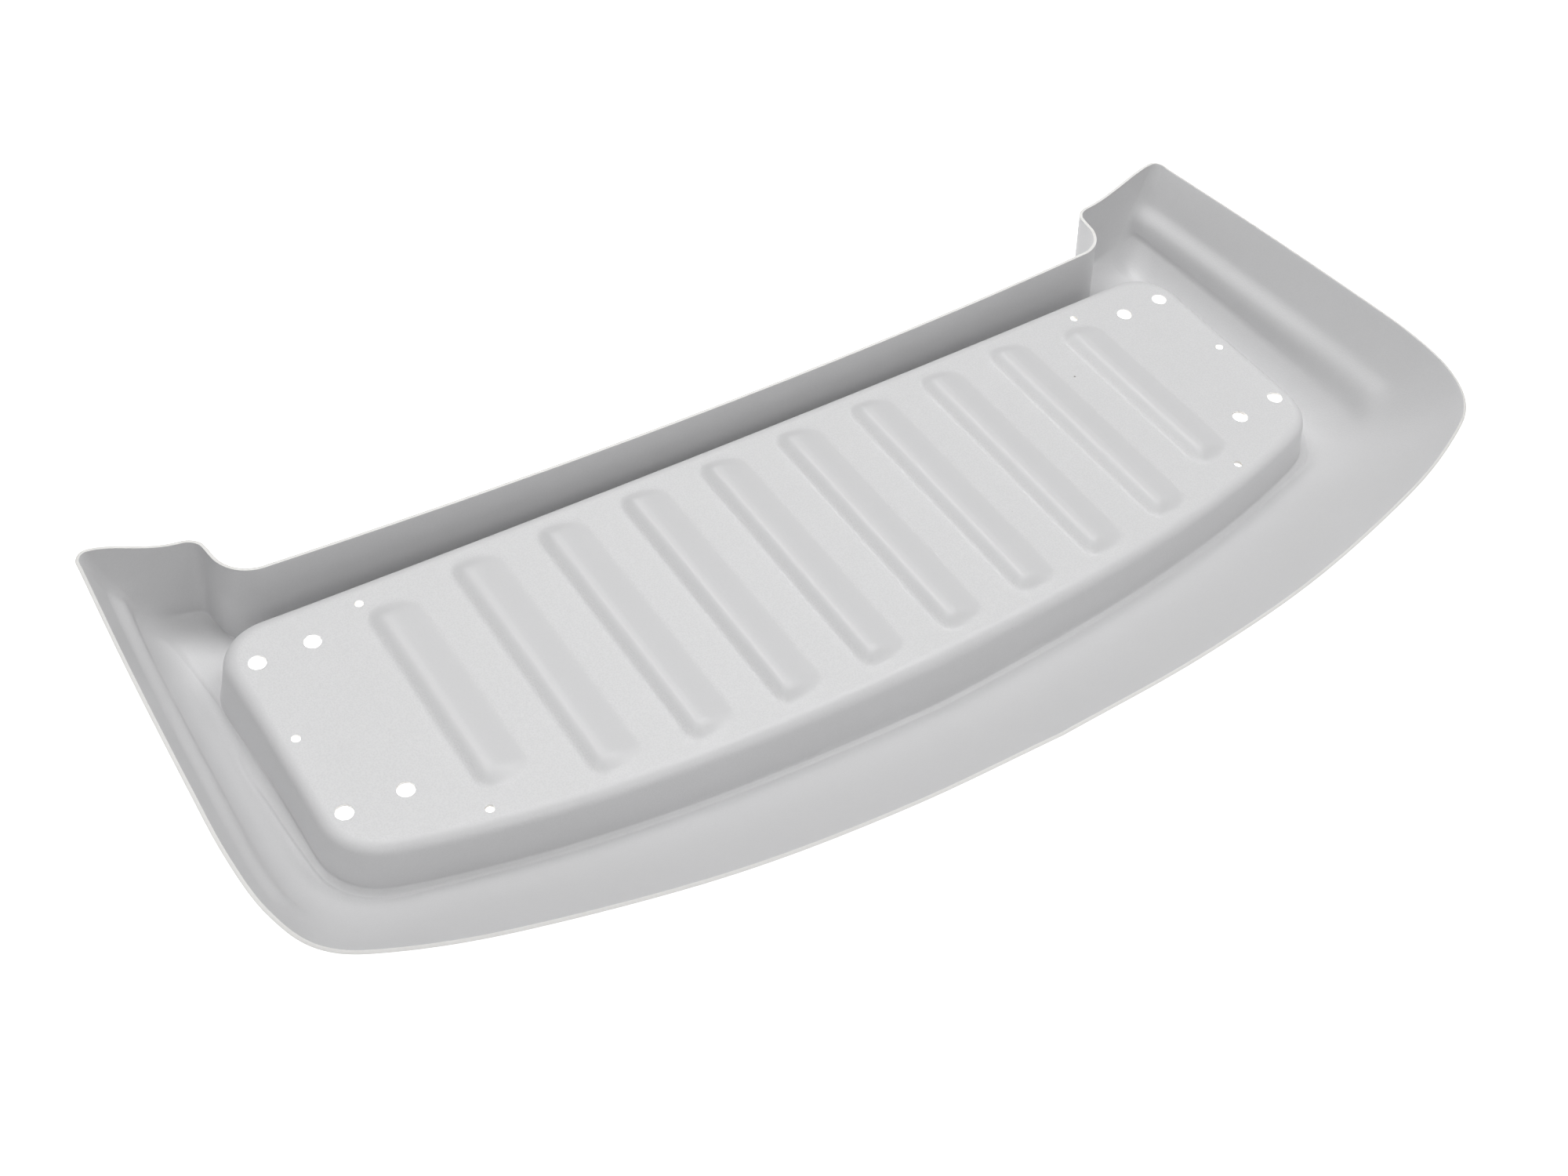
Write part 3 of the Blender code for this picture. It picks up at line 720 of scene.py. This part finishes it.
def floorMaterial(settings):
    material = bpy.data.materials.new("paleFloor")
    material.use_nodes = True
    tree = material.node_tree
    shader = tree.nodes["Principled BSDF"]
    mottle = addNode(tree, "ShaderNodeTexNoise", {"Scale": 3.0, "Detail": 3.0})
    dim = tuple(0.985 * c for c in settings["floorColour"])
    tree.links.new(blendColours(tree, mottle.outputs[0], settings["floorColour"], dim),
                   shader.inputs["Base Color"])
    shader.inputs["Roughness"].default_value = 0.9
    shader.inputs["Emission Strength"].default_value = 1.0
    # almost white where it is looked at, gentle on the tray's outside, bright only under the rear holes
    place = addNode(tree, "ShaderNodeTexCoord")
    parts = addNode(tree, "ShaderNodeSeparateXYZ")
    tree.links.new(place.outputs["Object"], parts.inputs[0])
    patch = settings["patch"]
    sideways = calc(tree, "SUBTRACT", calc(tree, "ABSOLUTE", parts.outputs["X"]), patch["x"])
    sideways = calc(tree, "ABSOLUTE", sideways)
    lengthways = calc(tree, "ABSOLUTE", calc(tree, "SUBTRACT", parts.outputs["Y"], patch["y"]))
    inWidth = span(tree, sideways, patch["wide"] - patch["soft"], patch["wide"], 1.0, 0.0)
    inDepth = span(tree, lengthways, patch["deep"] - patch["soft"], patch["deep"], 1.0, 0.0)
    under = calc(tree, "MULTIPLY", inWidth, inDepth)
    glow = calc(tree, "MULTIPLY_ADD", under, patch["glow"], settings["floorGlow"])
    path = addNode(tree, "ShaderNodeLightPath")
    shown = tree.nodes.new("ShaderNodeMix")
    tree.links.new(path.outputs["Is Camera Ray"], shown.inputs[0])
    tree.links.new(glow, shown.inputs[2])
    shown.inputs[3].default_value = settings["floorSeen"]
    tree.links.new(shown.outputs[0], shader.inputs["Emission Color"])
    facing = addNode(tree, "ShaderNodeNewGeometry")   # clear from below, so the underside can be looked at
    tree.links.new(calc(tree, "SUBTRACT", 1.0, facing.outputs["Backfacing"]), shader.inputs["Alpha"])
    return material


def flatSheet(name, size, z, material):
    mesh = bpy.data.meshes.new(name)
    corners = [(-size, -size, z), (size, -size, z), (size, size, z), (-size, size, z)]
    mesh.from_pydata(corners, [], [(0, 1, 2, 3)])
    return newPiece(name, mesh, material)


floor = flatSheet("studioFloor", studio["floorHalf"], cadBox[0].z - studio["floorGap"], floorMaterial(studio))
print("floor made")


def softLight(name, azimuth, elevation, distance, power):
    data = bpy.data.lights.new(name, "AREA")
    data.shape, data.size, data.energy = "DISK", studio["size"], power
    light = bpy.data.objects.new(name, data)
    a, e = math.radians(azimuth), math.radians(elevation)
    away = Vector((math.sin(a) * math.cos(e), -math.cos(a) * math.cos(e), math.sin(e)))
    light.location = away * distance
    light.rotation_euler = (-away).to_track_quat("-Z", "Y").to_euler()
    bpy.context.scene.collection.objects.link(light)


for name, placing in studio["lights"].items():
    softLight(name, *placing)
print("lights made:", len(studio["lights"]))
world = bpy.data.worlds.new("softRoom")
world.use_nodes = True
sky = world.node_tree
sky.nodes["Background"].inputs[0].default_value = (1.0, 1.0, 1.0, 1.0)
# white where it is looked at, dim as a light
skyPath = addNode(sky, "ShaderNodeLightPath")
skyLight = calc(sky, "MULTIPLY_ADD", skyPath.outputs["Is Camera Ray"], 1.0 - studio["room"], studio["room"])
sky.links.new(skyLight, sky.nodes["Background"].inputs[1])
bpy.context.scene.world = world
bpy.context.scene.view_settings.view_transform = "Standard"

cameraSetup = {
    "place": (-0.6428, -0.7293, 1.0837), "lens": 45.09,
    "right": (0.83013, -0.55153, 0.08181), "up": (0.36407, 0.64731, 0.66967),
}
cameraData = bpy.data.cameras.new("camera")
cameraData.lens = cameraSetup["lens"]
cameraData.sensor_width = 36.0
cameraData.sensor_fit = "HORIZONTAL"
camera = bpy.data.objects.new("camera", cameraData)
right, up = Vector(cameraSetup["right"]), Vector(cameraSetup["up"])
axes = Matrix((right, up, right.cross(up))).transposed()
camera.matrix_world = Matrix.Translation(cameraSetup["place"]) @ axes.to_4x4()
bpy.context.scene.collection.objects.link(camera)
bpy.context.scene.camera = camera
